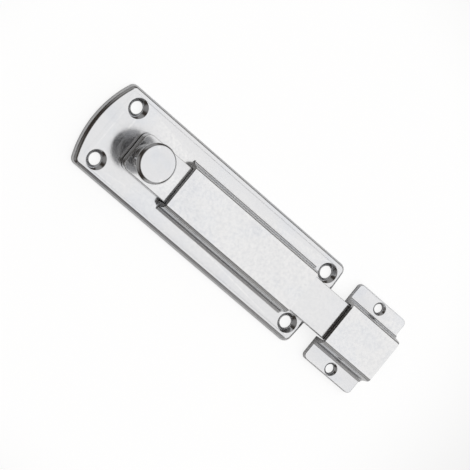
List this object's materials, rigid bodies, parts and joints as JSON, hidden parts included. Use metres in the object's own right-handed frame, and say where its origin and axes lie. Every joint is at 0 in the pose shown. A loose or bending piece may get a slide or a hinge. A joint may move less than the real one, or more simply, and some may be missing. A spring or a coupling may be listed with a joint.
{
  "type": "barrel bolt",
  "caption": "Straight surface bolt with a flat bar sliding in a raised cover on a backplate, a round knob on the bar, and a separate staple-shaped keep for the frame.",
  "frame": {"origin": "middle of the backplate's screw pattern, on the mounting plane at the plate's back", "axes": "+X the way the bolt is thrown, towards the keep; +Z away from the door, towards the knob; +Y across the plate"},
  "size_m": [0.1304, 0.032, 0.0169],
  "materials": {
    "chrome_plate": "bright chrome plate on brass, lightly brushed flats",
    "peg_brass": "turned and peened",
    "screw_steel": "zinc plated",
    "spring_bronze": "rolled phosphor bronze strip"
  },
  "bodies": {
    "plate": {"backplate": "chrome_plate", "guide_cover": "chrome_plate", "cover_pegs": "peg_brass", "stop_pin": "peg_brass"},
    "bolt": {"bolt_bar": "chrome_plate", "knob": "chrome_plate", "knob_screw": "screw_steel", "friction_spring": "spring_bronze"},
    "keep": {"keep": "chrome_plate"}
  },
  "joints": [
    {"name": "bolt_throw", "type": "slide", "parent": "plate", "child": "bolt", "axis": [1, 0, 0], "range_m": [-0.015, 0.01]},
    {"name": "keep_away", "type": "slide", "parent": "plate", "child": "keep", "axis": [1, 0, 0], "range_m": [0, 0.022]}
  ]
}
